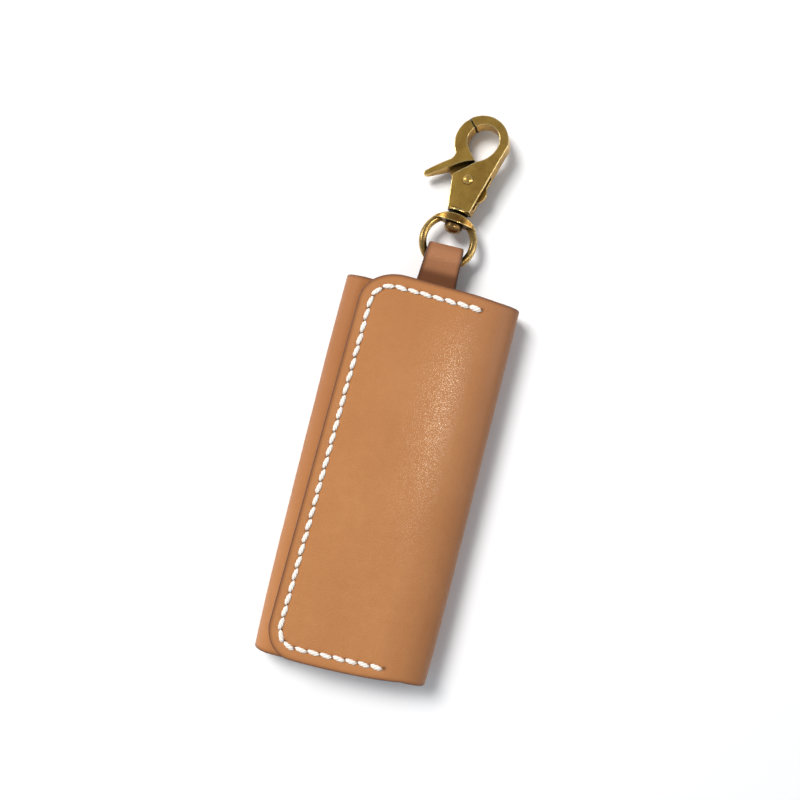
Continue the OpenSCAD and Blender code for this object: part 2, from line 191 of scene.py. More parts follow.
def leather_sheet(name, top, normal, flat, thickness, borders, material, edge_r=EDGE_R, stain_and_shade=None, **where):
    """A sheet of leather below the grid of points of its grain side, with a stain and painted shade on it if
    they are given.

    Each border is a list of grid places along a finished edge. It gets a rounded, burnished edge that
    stands edge_r proud of the grid. Other borders are cut square, for the piece that meets them there.
    """
    nu, nv = top.shape[:2]
    top = top.reshape(-1, 3)
    normal = normal.reshape(-1, 3)
    flat = flat.reshape(-1, 3)
    size = nu * nv
    down = np.array([0, 0, thickness])
    points = [top, top - normal * thickness]
    coords = [flat, flat - down]
    rims = [np.zeros(2 * size)]
    index = np.arange(size).reshape(nu, nv)
    a, b = index[:-1, :-1].ravel(), index[1:, :-1].ravel()
    c, d = index[1:, 1:].ravel(), index[:-1, 1:].ravel()
    faces = np.stack([a, b, c, d], 1).tolist() + (np.stack([a, d, c, b], 1) + size).tolist()
    profile = []
    for k in range(1, EDGE_STEPS + 1):
        turn = math.pi / 2 * k / EDGE_STEPS
        rim = RIM_START + RIM_STEP * k
        profile.append((edge_r * math.sin(turn), -edge_r * (1 - math.cos(turn)), rim))
    profile += [(edge_r * EDGE_SWELL, -thickness / 2, 1.0)]
    profile += [(out, -thickness - z, rim) for out, z, rim in reversed(profile[:EDGE_STEPS])]
    count = 2 * size
    lines = []
    for border in borders:
        at = np.array([index[i, j] for i, j in border])
        line, up = top[at], unit(normal[at])
        lines.append(line)
        inward = np.array([index[min(max(i, 1), nu - 2), min(max(j, 1), nv - 2)] for i, j in border])
        out = unit(np.cross(np.gradient(line, axis=0), up))
        side = np.sum(out * (line - top[inward]), axis=1)
        out *= 1.0 if np.sum(side) > 0 else -1.0
        ladder = [at]
        for away, z, rim in profile:
            points.append(line + out * away + up * z)
            coords.append(flat[at] + [0, 0, z])
            rims.append(np.full(len(at), rim))
            ladder.append(np.arange(count, count + len(at)))
            count += len(at)
        ladder.append(at + size)
        for p, q in zip(ladder[:-1], ladder[1:]):
            faces += np.stack([p[:-1], p[1:], q[1:], q[:-1]], 1).tolist()
    tree = tree_of(np.concatenate(lines))
    inside = np.array([tree.find(point)[2] for point in top])
    from_edge = np.concatenate([inside, inside, np.zeros(count - 2 * size)])
    attributes = {"flat": np.concatenate(coords), "rim": np.concatenate(rims), "from_edge": from_edge}
    if stain_and_shade is not None:
        attributes["stain_and_shade"] = np.concatenate([stain_and_shade.ravel(), np.zeros(count - size)])
    return piece(name, np.concatenate(points), faces, material, attributes=attributes, **where)


def edge_places(nu, nv, sides):
    """Grid places along the named sides: v0 and v1 run along u, and u0 joins them into one line."""
    low = [(i, 0) for i in range(nu - 1, -1, -1)]
    high = [(i, nv - 1) for i in range(nu)]
    if sides == "v0 u0 v1":
        return [low + [(0, j) for j in range(1, nv - 1)] + high]
    return [low, high]


# ---- Node materials ----

class Nodes:
    """Short names for the node tree of one material."""

    def __init__(self, name):
        self.material = bpy.data.materials.new(name)
        self.material.use_nodes = True
        self.tree = self.material.node_tree
        self.shader = self.tree.nodes["Principled BSDF"]

    def add(self, kind, inputs=None, **settings):
        node = self.tree.nodes.new(kind)
        for key, value in settings.items():
            setattr(node, key, value)
        for key, value in (inputs or {}).items():
            self.put(node.inputs[key], value)
        return node

    def put(self, socket, value):
        if isinstance(value, bpy.types.NodeSocket):
            self.tree.links.new(value, socket)
        else:
            socket.default_value = value

    def attribute(self, name, output="Fac"):
        return self.add("ShaderNodeAttribute", attribute_name=name).outputs[output]

    def math(self, operation, a, b=0.0, clamp=False):
        return self.add("ShaderNodeMath", {0: a, 1: b}, operation=operation, use_clamp=clamp).outputs[0]

    def noise(self, vector, scale, detail=2.0, rough=0.5):
        made = self.add("ShaderNodeTexNoise", {"Vector": vector, "Scale": scale, "Detail": detail,
                                               "Roughness": rough})
        return made.outputs["Fac"]

    def cells(self, vector, scale, feature="F1"):
        made = self.add("ShaderNodeTexVoronoi", {"Vector": vector, "Scale": scale}, feature=feature)
        return made.outputs["Distance"]

    def remap(self, value, low, high, to_low=0.0, to_high=1.0):
        return self.add("ShaderNodeMapRange", {"Value": value, "From Min": low, "From Max": high,
                                               "To Min": to_low, "To Max": to_high}).outputs["Result"]

    def mix(self, factor, a, b, blend="MIX"):
        made = self.add("ShaderNodeMix", data_type="RGBA", blend_type=blend)
        self.put(made.inputs["Factor"], factor)
        self.put(made.inputs["A"], a)
        self.put(made.inputs["B"], b)
        return made.outputs["Result"]

    def bump(self, height, distance, strength=1.0, normal=None):
        inputs = {"Height": height, "Distance": distance * MM, "Strength": strength}
        if normal is not None:
            inputs["Normal"] = normal
        return self.add("ShaderNodeBump", inputs).outputs["Normal"]

    def finish(self, **sockets):
        for key, value in sockets.items():
            self.put(self.shader.inputs[key.replace("_", " ")], value)
        return self.material


def rgb(r, g, b):
    """Linear colour from an sRGB colour in 0 to 255."""
    return tuple((c / 255 / 12.92) if c / 255 <= 0.04045 else ((c / 255 + 0.055) / 1.055) ** 2.4
                 for c in (r, g, b)) + (1.0,)


def leather_material(name, main, dark, edge, sparkle=1.0, roughness=0.5, stain_and_shade=None, case=False):
    """Smooth vegetable-tanned leather with a fine grain, a matt flesh side and burnished edges. The hide of
    the case also has painted shade towards its right fold, is darker along its left fold and side strip and
    towards its upper end, and has a waxy patch with painted glints."""
    n = Nodes(name)
    flat = n.attribute("flat", "Vector")
    rim = n.attribute("rim")
    from_edge = n.attribute("from_edge")
    cloud = n.noise(flat, 0.055, 3.0)
    mottle = n.noise(flat, 0.45, 4.0, 0.62)
    grain = n.noise(flat, 3.2, 5.0, 0.66)
    pores = n.cells(flat, 3.6)
    pebbles = n.cells(flat, 1.8, "SMOOTH_F1")
    wrinkles = n.cells(flat, 1.35, "SMOOTH_F1")
    colour = n.mix(n.remap(cloud, 0.34, 0.68, 0.15, 0.6), main, dark)
    colour = n.mix(n.remap(mottle, 0.3, 0.75, 0.0, 0.42), colour, dark)
    place = n.add("ShaderNodeSeparateXYZ", {"Vector": flat}).outputs
    flesh = n.remap(place[2], *FLESH_Z)
    light = tuple(min(1.0, c * 1.2) for c in main[:3]) + (1.0,)
    colour = n.mix(n.remap(grain, 0.46, 0.7, 0.0, 0.7), colour, light)
    colour = n.mix(n.remap(pores, 0.0, 0.28, 0.4, 0.0), colour, dark)
    coat = 0.08
    if case:
        deep = tuple(c * k for c, k in zip(dark[:3], (0.72, 0.66, 0.6))) + (1.0,)
        # painted shade towards the right fold, where the hide turns away from the light
        right = n.math("MULTIPLY", n.remap(place[0], *FOLD_SHADE_X, 0.0, 0.5),
                       n.remap(place[0], BACK_S * 0.4, BACK_S * 0.8, 1.0, 0.1))
        # darker along the left fold and side strip, more towards its upper end
        left = n.math("MULTIPLY", n.remap(place[0], LEFT_S, LEFT_S + 5.0),
                      n.remap(place[1], -30.0, 40.0, 0.14, 0.7))
        colour = n.mix(n.math("MAXIMUM", right, left), colour, deep)
        # darker towards the upper end of the case
        colour = n.mix(n.remap(place[1], *UPPER_DARK_Y, 0.0, 0.3), colour, dark)
        across = n.math("MULTIPLY", n.remap(place[0], *WAX_GLINT_X[0]), n.remap(place[0], *WAX_GLINT_X[1], 1.0, 0.0))
        along = n.math("MULTIPLY", n.remap(place[1], *WAX_GLINT_Y[0]), n.remap(place[1], *WAX_GLINT_Y[1], 1.0, 0.0))
        wax_and_glint_patch = n.math("MULTIPLY", across, along)
        coat = n.remap(wax_and_glint_patch, 0.0, 1.0, 0.05, BLOOM)
        # painted glints: pale specks in the colour that stand for light caught by the grain
        painted_glints = n.math("MULTIPLY", n.remap(n.cells(flat, 2.3), 0.14, 0.42, 1.0, 0.0),
                       n.remap(n.noise(flat, 1.2, 3.0, 0.7), 0.38, 0.54))
        painted_glints = n.math("MULTIPLY", painted_glints, n.remap(n.noise(flat, 0.16, 2.0), 0.3, 0.62, 0.3, 1.0))
        colour = n.mix(n.math("MULTIPLY", painted_glints, n.math("MULTIPLY", wax_and_glint_patch, 0.72)), colour, rgb(246, 206, 164))
    colour = n.mix(flesh, colour, n.mix(mottle, rgb(158, 110, 72), rgb(190, 142, 100)))
    colour = n.mix(n.remap(from_edge, 0.0, SIDE_BANDS[0], 0.42, 0.0), colour, dark)
    colour = n.mix(n.remap(from_edge, 0.0, SIDE_BANDS[1], 0.5, 0.0), colour, edge)
    # stain and painted shade from the piece's own marks
    if stain_and_shade is not None:
        colour = n.mix(n.attribute("stain_and_shade"), colour, stain_and_shade)
    uneven = n.noise(flat, 1.9, 3.0)
    line = n.math("MULTIPLY", n.remap(rim, 0.05, 0.62), n.remap(uneven, 0.15, 0.6, 0.75, 1.0))
    colour = n.mix(line, colour, edge)
    rough = n.remap(grain, 0.3, 0.75, roughness - 0.09, roughness + 0.12)
    rough = n.math("ADD", rough, n.remap(cloud, 0.3, 0.7, -0.05, 0.05))
    rough = n.math("MAXIMUM", rough, n.math("MULTIPLY", flesh, 0.85))
    rough = n.mix(line, rough, (0.36, 0.36, 0.36, 1.0))
    fine = n.bump(grain, 0.05 * sparkle, 0.75)
    fine = n.bump(pores, 0.045 * sparkle, 0.55, fine)
    fine = n.bump(wrinkles, 0.07, 0.35, fine)
    fine = n.bump(mottle, 0.12, 0.35, fine)
    bloom = n.bump(pebbles, 0.075 * sparkle, 0.8)
    bloom = n.bump(n.noise(flat, 3.4, 2.0, 0.55), 0.05 * sparkle, 0.8, bloom)
    return n.finish(Base_Color=colour, Roughness=rough, Normal=fine, Specular_IOR_Level=0.34,
                    Coat_Weight=coat, Coat_Roughness=0.14, Coat_Normal=bloom)


def suede_material(name, main, dark):
    """The flesh side of leather: matt, with short fibres."""
    n = Nodes(name)
    flat = n.attribute("flat", "Vector")
    rim = n.attribute("rim")
    nap = n.noise(flat, 5.5, 6.0, 0.75)
    patch = n.noise(flat, 0.35, 3.0)
    colour = n.mix(n.remap(nap, 0.35, 0.7), dark, main)
    colour = n.mix(n.remap(patch, 0.35, 0.7, 0.0, 0.35), colour, dark)
    colour = n.mix(n.remap(rim, 0.1, 0.8), colour, rgb(104, 62, 38))
    return n.finish(Base_Color=colour, Roughness=0.88, Normal=n.bump(nap, 0.12, 0.8),
                    Sheen_Weight=0.3, Sheen_Roughness=0.5)


def thread_material():
    """Waxed white thread, with painted shade between its plies."""
    n = Nodes("thread_waxed")
    ply = n.attribute("ply")
    place = n.add("ShaderNodeTexCoord").outputs["Object"]
    fibres = n.noise(place, 2400.0, 3.0)
    # painted shade in the grooves between the plies
    colour = n.mix(n.remap(ply, -1.0, 0.4, 0.55, 0.0), rgb(252, 247, 238), rgb(196, 180, 166))
    colour = n.mix(n.remap(fibres, 0.35, 0.7, 0.0, 0.22), colour, rgb(222, 208, 192))
    return n.finish(Base_Color=colour, Roughness=0.52, Normal=n.bump(fibres, 0.03, 0.6),
                    Sheen_Weight=0.15, Subsurface_Weight=0.12, Subsurface_Radius=(0.0006, 0.0005, 0.0004),
                    Subsurface_Scale=1.0)


def brass_material(name, main, dark, bright, roughness, tarnish=0.7):
    """Antique brass: tarnished in patches and in the hollows, darker in its recesses, partly patina and
    partly painted shade, with painted shade in the snap's mouth, and lighter along its edges, partly rubbed
    and partly a painted highlight.
    """
    n = Nodes(name)
    place = n.add("ShaderNodeTexCoord").outputs["Object"]
    pointed = n.add("ShaderNodeNewGeometry").outputs["Pointiness"]
    cloud = n.noise(place, 190.0, 3.0, 0.55)
    speck = n.noise(place, 1500.0, 4.0, 0.7)
    brushed = n.noise(place, 5200.0, 2.0, 0.6)
    hollow = n.remap(pointed, 0.475, 0.497, 1.0, 0.0)
    # darker where little open space is near, and in the mouth: partly patina in the recesses, partly painted
    # shade
    open_sky = n.add("ShaderNodeAmbientOcclusion", {"Distance": 2.6 * MM}, samples=12).outputs["AO"]
    recess = n.math("MAXIMUM", n.remap(open_sky, 0.4, 0.92, 0.98, 0.0), n.attribute("shut"))
    # lighter along the edges: partly rubbed brass, partly a painted highlight
    edge = n.math("MULTIPLY", n.remap(pointed, 0.5025, 0.516), n.remap(open_sky, 0.72, 0.96))
    colour = n.mix(n.remap(cloud, 0.35, 0.66, 0.0, tarnish), main, dark)
    colour = n.mix(n.remap(speck, 0.5, 0.75, 0.0, 0.3), colour, dark)
    colour = n.mix(n.math("MULTIPLY", edge, 0.75), colour, bright)
    colour = n.mix(n.math("MULTIPLY", hollow, 0.8), colour, rgb(48, 36, 18))
    colour = n.mix(recess, colour, rgb(40, 29, 15))
    rough = n.remap(speck, 0.3, 0.75, roughness - 0.05, roughness + 0.13)
    rough = n.math("SUBTRACT", rough, n.math("MULTIPLY", edge, 0.1))
    rough = n.math("ADD", rough, n.math("MULTIPLY", recess, 0.4))
    fine = n.bump(speck, 0.018, 0.5)
    fine = n.bump(brushed, 0.006, 0.4, fine)
    return n.finish(Base_Color=colour, Roughness=rough, Normal=fine, Metallic=1.0)


def steel_material(name, main, roughness):
    """Nickel-plated steel with faint rubbing marks."""
    n = Nodes(name)
    place = n.add("ShaderNodeTexCoord").outputs["Object"]
    haze = n.noise(place, 260.0, 3.0)
    marks = n.noise(place, 3800.0, 2.0)
    dull = tuple(c * 0.7 for c in main[:3]) + (1.0,)
    colour = n.mix(n.remap(haze, 0.35, 0.7, 0.0, 0.6), main, dull)
    rough = n.remap(marks, 0.3, 0.7, roughness - 0.05, roughness + 0.12)
    return n.finish(Base_Color=colour, Roughness=rough, Normal=n.bump(marks, 0.006, 0.4), Metallic=1.0)


BLOOM = 0.45                # gloss of the waxy bloom on the flap
# the stain colours are painted shade round the flap's stitch holes, and painted shade with darker patina
# where the strap goes into the case
TAN = leather_material("leather_tan", rgb(187, 128, 78), rgb(168, 108, 60), rgb(100, 60, 38),
                       stain_and_shade=rgb(62, 36, 22), case=True)
STRAP = leather_material("leather_strap", rgb(181, 125, 86), rgb(160, 106, 70), rgb(72, 44, 30), 0.8, 0.56,
                         stain_and_shade=rgb(98, 58, 37))
LINING = suede_material("leather_flesh", rgb(186, 138, 96), rgb(158, 110, 72))
THREAD = thread_material()
BRASS = brass_material("brass_antique", rgb(215, 171, 85), rgb(166, 127, 57), rgb(252, 226, 156), 0.3)
RING_BRASS = brass_material("brass_ring", rgb(176, 134, 66), rgb(92, 64, 30), rgb(250, 222, 150), 0.26, 0.95)
STUD_BRASS = brass_material("brass_stud", rgb(136, 106, 64), rgb(86, 64, 38), rgb(214, 176, 110), 0.3, 0.9)
STRIP_BRASS = brass_material("brass_plain", rgb(205, 172, 105), rgb(170, 135, 72), rgb(240, 215, 150), 0.28)
NICKEL = steel_material("steel_nickel", rgb(212, 209, 203), 0.24)


# ---- The case's outer leather, one hide unrolled from the flap's free edge to the side flap's ----


def stitch_places():
    """Centre and direction of each stitch, in order along the seam from its top end."""
    mesh = bmesh.new()
    mesh.from_mesh(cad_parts["flap_stitching"].data)
    bmesh.ops.remove_doubles(mesh, verts=mesh.verts, dist=1e-7)
    left = set(mesh.verts)
    found = []
    while left:
        island, queue = [], [left.pop()]
        while queue:
            vertex = queue.pop()
            island.append(np.array(vertex.co) / MM)
            for edge in vertex.link_edges:
                other = edge.other_vert(vertex)
                if other in left:
                    left.remove(other)
                    queue.append(other)
        island = np.array(island)
        centre = (island.min(0) + island.max(0)) / 2
        direction = np.linalg.svd(island - centre)[2][0]
        found.append((centre, direction))
    mesh.free()

    def turn(place):
        return math.atan2(place[0][1], place[0][0] - 5) % (2 * math.pi)

    found.sort(key=turn)
    ordered = []
    for k, (centre, direction) in enumerate(found):
        ahead = found[min(k + 1, len(found) - 1)][0] - found[max(k - 1, 0)][0]
        ordered.append((centre, direction * (1 if direction @ ahead > 0 else -1)))
    return ordered


STITCHES = stitch_places()
STITCH_PITCH = np.median([np.linalg.norm(a[0] - b[0]) for a, b in zip(STITCHES[:-1], STITCHES[1:])])


def holes():
    """Where the thread dives into the flap: between neighbouring stitches, and at both ends."""
    centres = [centre for centre, _ in STITCHES]
    between = [(a + b) / 2 for a, b in zip(centres[:-1], centres[1:])]
    first = centres[0] * 1.5 - centres[1] * 0.5
    last = centres[-1] * 1.62 - centres[-2] * 0.62
    return [first, *between, last]


HOLES = holes()
SEAM_SHARES = [m / 5 - 0.5 for m in range(6)]       # places along a stitch that its groove is measured from


def flap_point(x, y):
    """A point of the flap, from its place on a rectangle with the flap's length at its free edge."""
    low = FLAP_Y[0] + LOW_EDGE_R - math.sqrt(LOW_EDGE_R ** 2 - max(0.0, x - LOW_EDGE_X) ** 2)
    high = FLAP_Y[1] - TOP_FALL * max(0.0, x - TOP_FALL_X)
    y = low + (high - low) * (y - FLAP_Y[0]) / (FLAP_Y[1] - FLAP_Y[0])
    left = RIGHT_X - x
    return x + FLAP_SKEW * y * left / (RIGHT_X - FLAP_FREE_X), y + FLAP_SKEW * left


def flap_grid(inset, right_x, dx=0.36, dy=0.33):
    """Plan points of the flap inside its outline: u runs from the free edge to right_x, v along the case."""
    ry = CORNER_Y - inset
    y0, y1 = FLAP_Y[0] + inset, FLAP_Y[1] - inset
    turn = steps(0, math.pi / 2, dy / ry)
    low = y0 + ry - ry * np.sin(turn[::-1])
    high = y1 - ry + ry * np.sin(turn)
    rows = np.concatenate([low, steps(y0 + ry, y1 - ry, dy)[1:-1], high])
    near = steps(0, 6.5, 0.25) / (right_x - FLAP_FREE_X - inset)
    far = steps(near[-1], 1, dx / (right_x - FLAP_FREE_X - inset))
    across = np.concatenate([near, far[1:-1], [1 - THIN / 40, 1]])
    plan = np.zeros((len(across), len(rows), 2))
    for j, y in enumerate(rows):
        rx = (TOP_CORNER_X if y > 0 else LOW_CORNER_X) - inset
        past = max(0.0, (y0 + ry - y) / ry, (y - (y1 - ry)) / ry)
        x_left = FLAP_FREE_X + inset + rx * (1 - math.sqrt(max(0.0, 1 - past * past)))
        for i, share in enumerate(across):
            plan[i, j] = flap_point(x_left + (right_x - x_left) * share, y)
    return plan


def droop(x):
    """How far the flap sinks towards its fold."""
    return DROOP * max(0.0, (x - DROOP_X) / (RIGHT_X - DROOP_X)) ** 2


def crown(x, y):
    """How far the flap's front stands over its nominal height: it bulges over what is inside."""
    across = min(1.0, max(0.0, (x - FLAP_FREE_X) / FLAP_W))
    along = max(0.0, 1 - abs(y / BULGE_Y) ** 4)
    return BULGE * math.sin(math.pi * across) ** 2 * along - droop(x)


def front_flap():
    plan = flap_grid(EDGE_R, RIGHT_X)
    nu, nv = plan.shape[:2]
    seam = tree_of([(*(centre + direction * STITCH_PITCH * share)[:2], 0)
                    for centre, direction in STITCHES for share in SEAM_SHARES])
    pits = tree_of([(hole[0], hole[1], 0) for hole in HOLES])
    top = np.zeros((nu, nv, 3))
    flat = np.zeros((nu, nv, 3))
    stain_and_shade = np.zeros((nu, nv))
    for i in range(nu):
        for j in range(nv):
            x, y = plan[i, j]
            to_seam = seam.find((x, y, 0))[2]
            to_pit = pits.find((x, y, 0))[2]
            groove = SEAM_DEPTH * math.exp(-(to_seam / SEAM_W) ** 2)
            sunk = groove + PIT_DEPTH * math.exp(-(to_pit / PIT_W) ** 2)
            top[i, j] = (x, y, CASE_T + crown(x, y) + relief(x - RIGHT_X, y) - sunk)
            flat[i, j] = (x - RIGHT_X, y, 0)
            # painted shade of the stitch hole round each pit
            stain_and_shade[i, j] = PIT_SHADE * math.exp(-(to_pit / PIT_SHADE_W) ** 2)
    normal = np.zeros_like(top)
    normal[:, :, 2] = 1
    leather_sheet("flap_leather", top, normal, flat, LEATHER_T, edge_places(nu, nv, "v0 u0 v1"), TAN,
                  stain_and_shade=stain_and_shade, body="front_flap", slot="case_leather", replaces=["front_flap"])


def pinch(y, depths):
    """How far a fold's outside draws in towards the lower and the upper end of the case."""
    return depths[1 if y > 0 else 0] * max(0.0, (abs(y) - PINCH_FROM) / PINCH_OVER) ** 2


def fold(name, centre_x, radius, turn, s_start, y_from, y_to, depths, replaces, sag=0.0):
    """Half of a fold: turn is its first and last angle in degrees, y_from and y_to its ends along the case.
    Its first angle hangs lower by sag, to meet the drooping flap."""
    angles = np.radians(steps(turn[0], turn[1], 2.5, thin=0.3))
    share = (angles - angles[0]) / (angles[-1] - angles[0])
    rows = steps(0, 1, 0.8 / 106)
    top = np.zeros((len(angles), len(rows), 3))
    normal = np.zeros_like(top)
    flat = np.zeros_like(top)
    for i, angle in enumerate(angles):
        out = np.array([math.cos(angle), 0, math.sin(angle)])
        low = y_from[0] + (y_to[0] - y_from[0]) * share[i] + EDGE_R
        high = y_from[1] + (y_to[1] - y_from[1]) * share[i] - EDGE_R
        s = s_start + radius * abs(angle - angles[0])
        fade = (1 - share[i]) ** 2 * (1 + 2 * share[i])
        lower = sag * fade * (1 + 2 * radius * abs(out[0]) / (RIGHT_X - DROOP_X))
        for j, v in enumerate(rows):
            y = low + (high - low) * v
            place = np.array([centre_x, y, radius]) + out * (radius + relief(s, y))
            place[0] -= out[0] * pinch(y, depths)
            place[2] -= lower
            top[i, j], normal[i, j], flat[i, j] = place, out, (s, y, 0)
    made = leather_sheet(name, top, normal, flat, LEATHER_T, edge_places(*top.shape[:2], "v0 v1"), TAN,
                         slot="case_leather", replaces=replaces)
    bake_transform(made)
    return made


def flat_panel(name, x_range, ends, z, up, s_at, body, replaces, free_side=False):
    """A flat part of the hide with its grain side at height z, facing up (1) or down (-1). ends gives its
    ends along the case at each x."""
    xs = steps(x_range[0], x_range[1], 1.1, thin=THIN)
    rows = steps(0, 1, 1.1 / 106)
    top = np.zeros((len(xs), len(rows), 3))
    flat = np.zeros_like(top)
    for i, x in enumerate(xs):
        low, high = ends(x)
        s = s_at(x)
        for j, v in enumerate(rows):
            y = low + EDGE_R + (high - low - 2 * EDGE_R) * v
            top[i, j] = (x, y, z + relief(s, y) if up > 0 else z - min(0.0, relief(s, y)))
            flat[i, j] = (s, y, 0)
    normal = np.zeros_like(top)
    normal[:, :, 2] = up
    sides = "v0 u0 v1" if free_side else "v0 v1"
    leather_sheet(name, top, normal, flat, LEATHER_T, edge_places(*top.shape[:2], sides), TAN,
                  body=body, slot="case_leather", replaces=replaces)


def back_ends(x):
    """Ends of the back panel along the case: it runs out from the left fold's to the right fold's."""
    share = (x + RIGHT_X + RIGHT_R) / (2 * (RIGHT_X + RIGHT_R))
    return [left + (right - left) * share for left, right in zip(LEFT_Y, RIGHT_Y)]


def outer_leather():
    front_flap()
    flap_ends = [flap_point(RIGHT_X, y)[1] for y in FLAP_Y]
    fold("right_fold_upper", RIGHT_X, RIGHT_R, (90, 0), 0, flap_ends, RIGHT_Y, RIGHT_PINCH,
         ["right_spine"], sag=DROOP)
    fold("right_fold_lower", RIGHT_X, RIGHT_R, (0, -90), BACK_S / 2, RIGHT_Y, back_ends(RIGHT_X),
         RIGHT_PINCH, [])
    flat_panel("back_leather", (RIGHT_X, LEFT_X), back_ends, 0.0, -1, lambda x: BACK_S + RIGHT_X - x,
               "case_back", ["back_panel"])
    fold("left_fold_lower", LEFT_X, LEFT_R, (270, 180), LEFT_S, back_ends(LEFT_X), LEFT_Y,
         LEFT_PINCH, ["left_spine"])
    fold("left_fold_upper", LEFT_X, LEFT_R, (180, 90), (LEFT_S + SIDE_S) / 2, LEFT_Y, LEFT_Y,
         LEFT_PINCH, [])
    flat_panel("side_leather", (SIDE_FREE_X - EDGE_R, LEFT_X), lambda x: LEFT_Y, SIDE_TOP, 1,
               lambda x: SIDE_S + x - LEFT_X, "side_flap", ["side_flap"], free_side=True)


outer_leather()


# ---- Linings ----

def flap_lining():
    high = box_mm("flap_lining")[1]
    plan = flap_grid(EDGE_R, high[0] - 1.3, dx=1.0, dy=0.8)
    nu, nv = plan.shape[:2]
    top = np.zeros((nu, nv, 3))
    top[:, :, :2] = plan
    top[:, :, 2] = high[2] - np.array([[droop(x) for x in row] for row in plan[:, :, 0]])
    normal = np.zeros_like(top)
    normal[:, :, 2] = 1
    leather_sheet("flap_lining_leather", top, normal, top.copy(), LINING_T, edge_places(nu, nv, "v0 u0 v1"),
                  LINING, body="front_flap", slot="lining_leather", replaces=["flap_lining"])


def plain_lining(node, body):
    low, high = box_mm(node)
    xs = steps(high[0] - EDGE_R, low[0], 1.0)
    ys = steps(low[1] + EDGE_R, high[1] - EDGE_R, 1.0)
    top = np.zeros((len(xs), len(ys), 3))
    for i, x in enumerate(xs):
        for j, y in enumerate(ys):
            top[i, j] = (x, y, high[2])
    normal = np.zeros_like(top)
    normal[:, :, 2] = 1
    leather_sheet(node + "_leather", top, normal, top.copy(), high[2] - low[2],
                  edge_places(*top.shape[:2], "v0 u0 v1"), LINING, body=body, slot="lining_leather",
                  replaces=[node])


flap_lining()
plain_lining("back_lining", "case_back")
plain_lining("side_lining", "side_flap")


# ---- Saddle stitching ----

PLIES = 3
THREAD_TURNS = 3.2 / PLIES          # turns of the thread's twist in one stitch
THREAD_AROUND = 18
THREAD_HALF = (0.6, 0.36)           # half of its width and of its height
THREAD_SINK = 0.14                  # how far its groove lies below the leather round it
THREAD_RISE, THREAD_DIVE = 0.2, 0.6         # middle of a stitch over its groove, and its ends below that
WANDER = 0.05                       # how far a stitch strays, in mm, and how far it turns, in radians


def thread_tube(path, radii, start_turn, count):
    """Rings of a plied thread along a path. Returns its points, faces and ply depth, numbered from count."""
    around = THREAD_AROUND
    along = len(path)
    ahead = unit(np.gradient(path, axis=0))
    points, ply, faces = [], [], []
    for k in range(along):
        side = unit(np.cross(ahead[k], [0, 0, 1]))
        up = np.cross(side, ahead[k])
        for m in range(around):
            angle = 2 * math.pi * m / around
            lobe = math.cos(PLIES * (angle - start_turn - 2 * math.pi * THREAD_TURNS * k / along))
            reach = 1 + 0.1 * lobe
            points.append(path[k] + side * radii[k][0] * reach * math.cos(angle)
                          + up * radii[k][1] * reach * math.sin(angle))
            ply.append(lobe)
    for k in range(along - 1):
        for m in range(around):
            a, b = k * around + m, k * around + (m + 1) % around
            faces.append((count + a, count + b, count + b + around, count + a + around))
    faces.append(tuple(count + m for m in range(around)))
    faces.append(tuple(count + (along - 1) * around + m for m in reversed(range(around))))
    return points, faces, ply


def stitches():
    random.seed(41)
    points, faces, ply = [], [], []
    along = np.linspace(-1, 1, 25)
    for k, (centre, direction) in enumerate(STITCHES):
        length = STITCH_PITCH * random.uniform(0.92, 0.98)
        x, y = centre[0] + random.uniform(-WANDER, WANDER), centre[1] + random.uniform(-WANDER, WANDER)
        tilt = random.uniform(-WANDER, WANDER)
        way = np.array([direction[0] * math.cos(tilt) - direction[1] * math.sin(tilt),
                        direction[0] * math.sin(tilt) + direction[1] * math.cos(tilt)])
        fat = random.uniform(0.94, 1.06) * (1.22 if k == 0 else 1.0)
        groove = CASE_T + crown(x, y) + relief(x - RIGHT_X, y) - THREAD_SINK
        path = np.zeros((len(along), 3))
        path[:, 0] = x + way[0] * along * length / 2
        path[:, 1] = y + way[1] * along * length / 2
        path[:, 2] = groove + THREAD_RISE - THREAD_DIVE * np.abs(along) ** 4
        swell = np.maximum(0.3, (1 - np.abs(along) ** 3) ** 0.6)
        radii = np.stack([THREAD_HALF[0] * fat * swell, THREAD_HALF[1] * fat * (0.5 + 0.5 * swell)], 1)
        new_points, new_faces, new_ply = thread_tube(path, radii, random.uniform(0, 2), len(points))
        points += new_points
        faces += new_faces
        ply += new_ply
    piece("flap_thread", points, faces, THREAD, body="front_flap", slot="thread",
          replaces=["flap_stitching"], attributes={"ply": ply})


stitches()


# ---- Strap: one piece of leather, doubled through the ring ----

STRAP_TAIL, STRAP_LOOP = box_mm("strap_tail"), box_mm("strap_loop")
STRAP_HALF = STRAP_T / 2
STRAP_X = (STRAP_TAIL[0][0] + STRAP_TAIL[1][0]) / 2
BEND_Y = STRAP_LOOP[0][1] + STRAP_T - 0.05          # where its two layers part
BEND_Z = (STRAP_TAIL[0][2] + STRAP_TAIL[1][2]) / 2
LAYERS_Y = BEND_Y - 1.2                             # up to here they lie flat on each other


def way(angle):
    """Direction of an angle in the y-z plane."""
    return np.array([math.cos(angle), math.sin(angle)])


